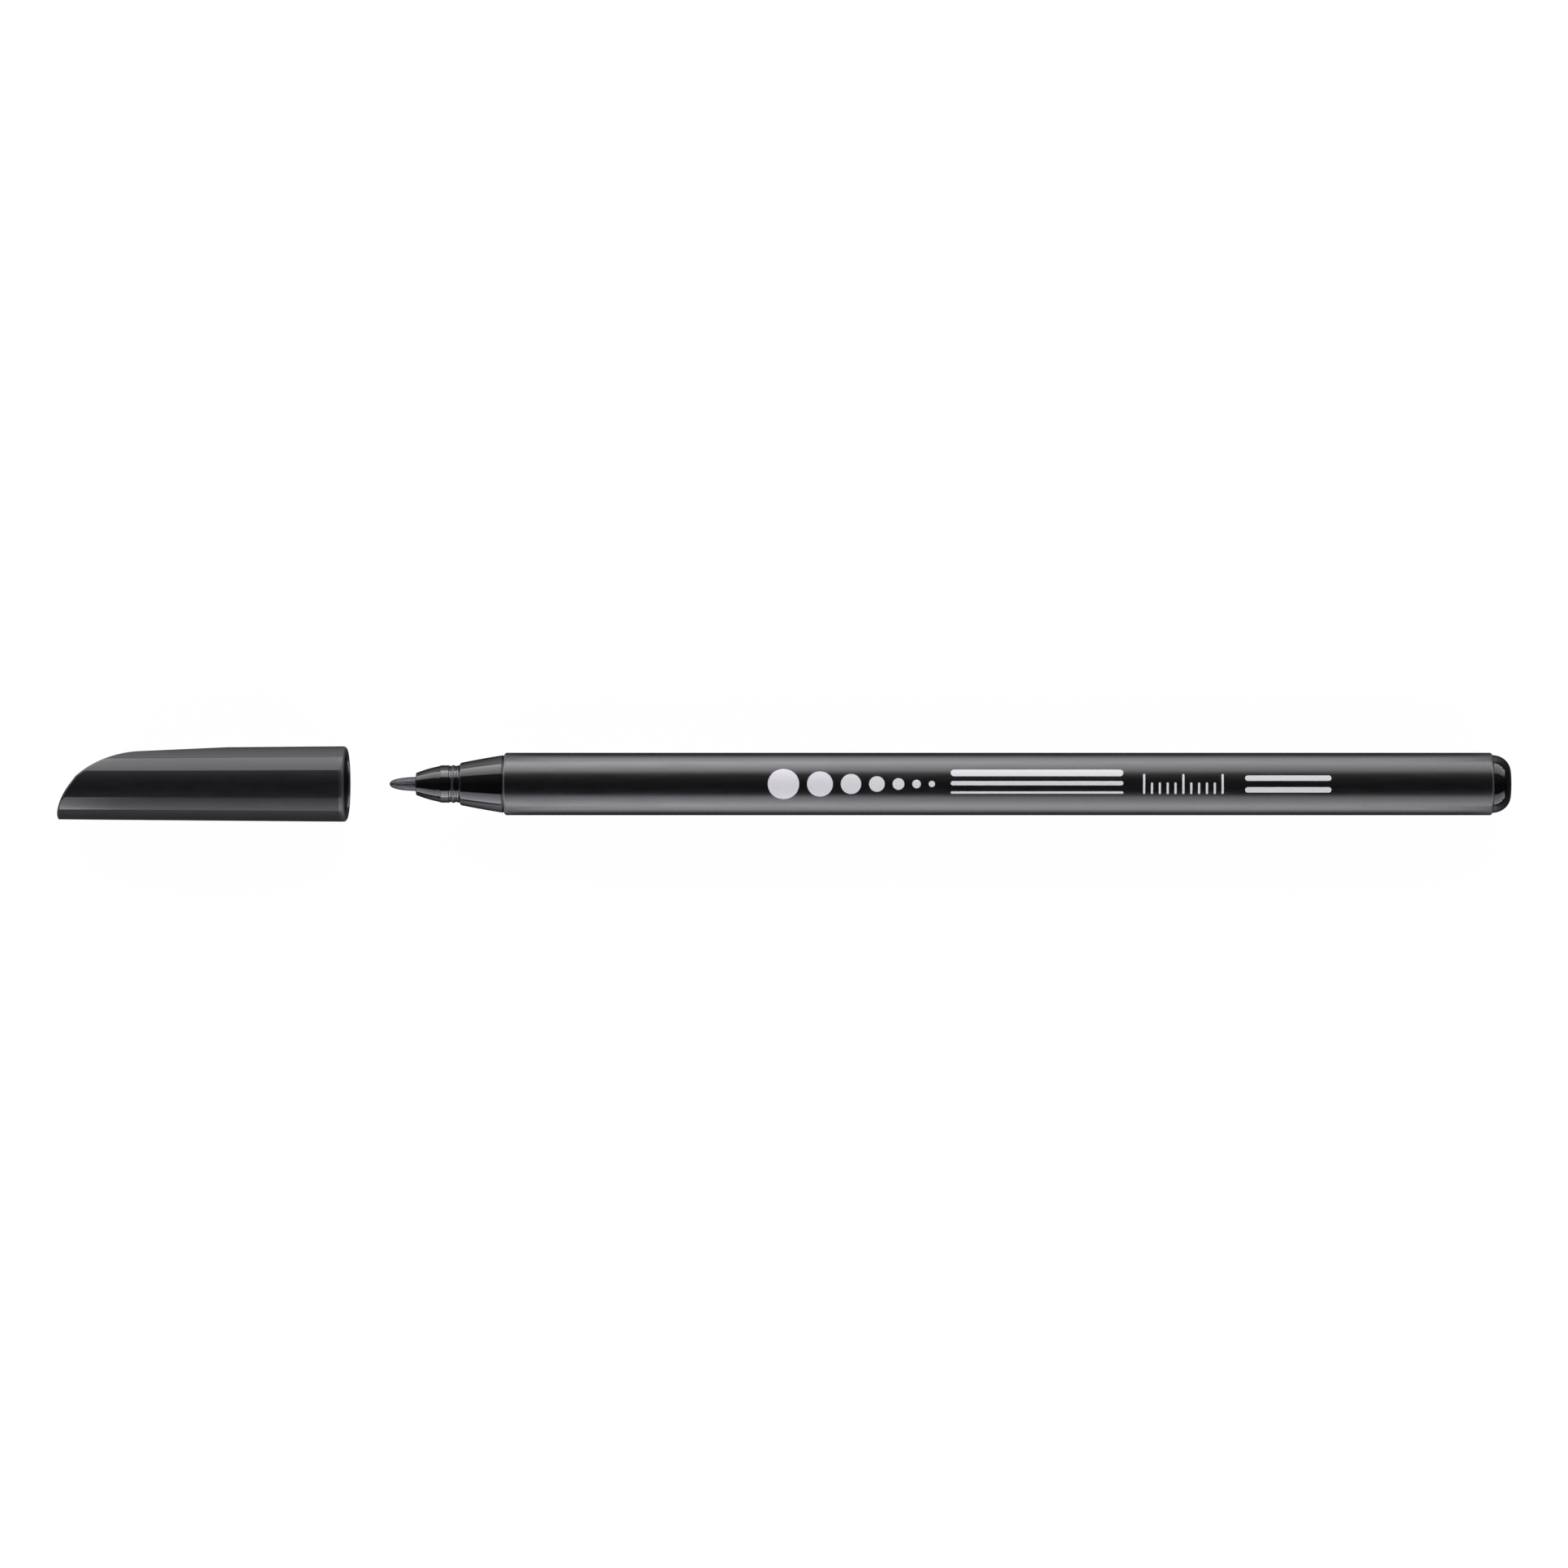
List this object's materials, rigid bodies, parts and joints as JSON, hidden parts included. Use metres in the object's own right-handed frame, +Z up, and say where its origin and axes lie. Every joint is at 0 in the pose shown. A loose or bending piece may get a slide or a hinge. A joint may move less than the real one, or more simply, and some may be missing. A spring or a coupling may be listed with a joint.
{
  "type": "felt-tip pen",
  "caption": "Slim round felt-tip pen with a fine fibre nib, glossy nose and tail plug, and a push-on cap with a slanted closed end, taken off and lying in line.",
  "frame": {"origin": "under the middle of the pen and its cap together, on the surface that the cap's mouth end lies on", "axes": "+X along the pen from the cap to the tail, +Y towards the side that the cap's slanted face is on, +Z up"},
  "size_m": [0.1858, 0.0096, 0.0097],
  "materials": {
    "barrel_plastic": "satin black, finely textured",
    "gloss_black_plastic": "glossy black",
    "cap_plastic": "glossy black, slightly softer than the nose",
    "liner_plastic": "plain moulded black",
    "nib_fibre": "bonded fibre soaked with black ink",
    "reservoir_fibre": "bundled fibre soaked with black ink",
    "clear_film": "thin film",
    "barrel_print": "silver print on the barrel"
  },
  "bodies": {
    "pen": {"barrel": "barrel_plastic", "front_section": "gloss_black_plastic", "nib_holder": "gloss_black_plastic", "fibre_nib": "nib_fibre", "ink_reservoir": "reservoir_fibre", "reservoir_sleeve": "clear_film", "tail_plug": "gloss_black_plastic"},
    "cap": {"cap_shell": "cap_plastic", "cap_liner": "liner_plastic"}
  },
  "joints": [
    {"name": "cap_slide", "type": "slide", "parent": "pen", "child": "cap", "axis": [1, 0, 0], "range_m": [0, 0.03214]}
  ]
}
